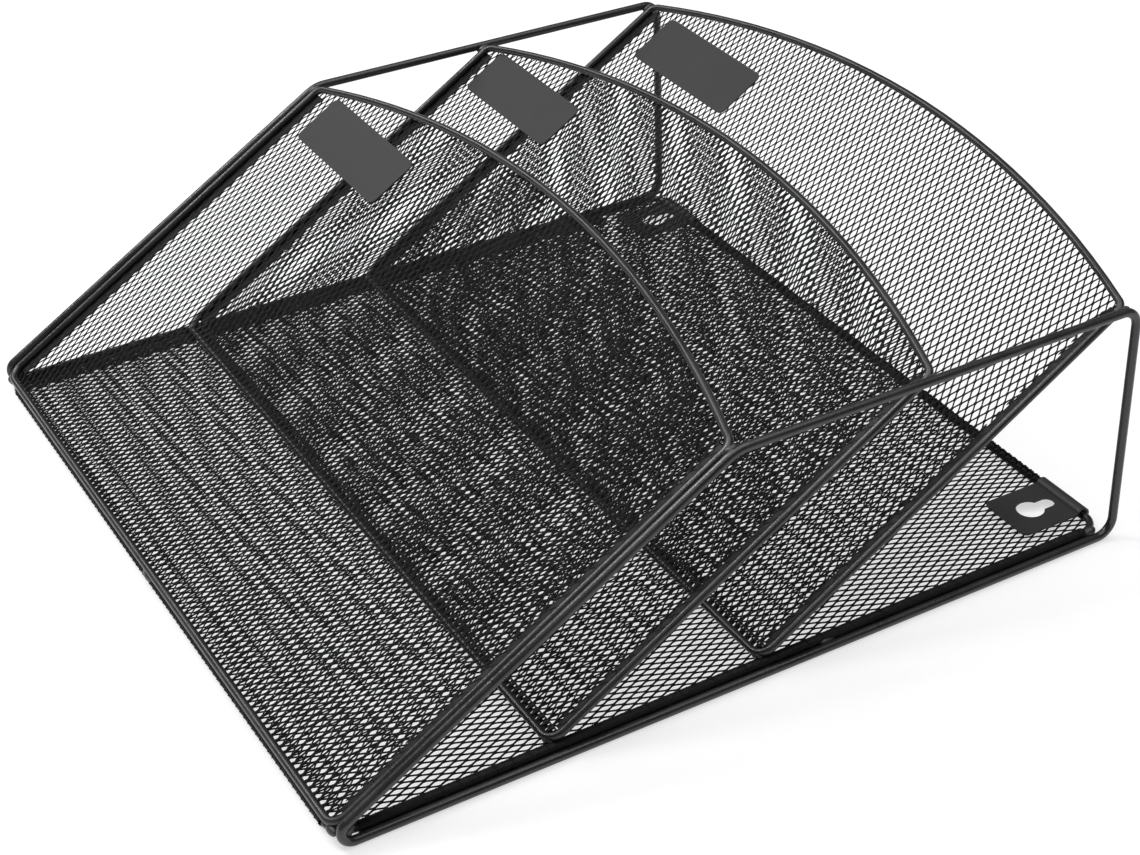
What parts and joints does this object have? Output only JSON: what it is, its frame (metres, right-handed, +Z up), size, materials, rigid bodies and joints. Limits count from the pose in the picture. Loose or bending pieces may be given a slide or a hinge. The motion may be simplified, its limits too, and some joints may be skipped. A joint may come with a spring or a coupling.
{
  "type": "desktop file sorter",
  "caption": "Sloping wire desk stand with mesh floor and leaning mesh dividers that hold papers and folders upright, label plates, and keyhole plates for hanging.",
  "frame": {"origin": "middle of the footprint, on the surface the stand rests on", "axes": "+X to the right seen from the low front, +Y to the back, +Z up"},
  "size_m": [0.3334, 0.3433, 0.1156],
  "materials": {
    "wire": "satin black powder coat on bent steel wire",
    "mesh": "satin black powder coat on expanded steel mesh",
    "plate": "matt black powder coat on steel sheet",
    "weld": "satin black powder coat over weld beads"
  },
  "bodies": {
    "root": {"side_frame_left": "wire", "side_frame_right": "wire", "floor_wire": "wire", "floor_mesh": "mesh", "divider_wire_front": "wire", "divider_mesh_front": "mesh", "divider_wire_middle": "wire", "divider_mesh_middle": "mesh", "divider_wire_rear": "wire", "divider_mesh_rear": "mesh", "label_plate_front": "plate", "label_plate_middle": "plate", "label_plate_rear": "plate", "keyhole_plate_left": "plate", "keyhole_plate_right": "plate", "rail_welds_left": "weld", "rail_welds_right": "weld", "floor_welds_left": "weld", "floor_welds_right": "weld", "front_weld": "weld"}
  },
  "joints": []
}
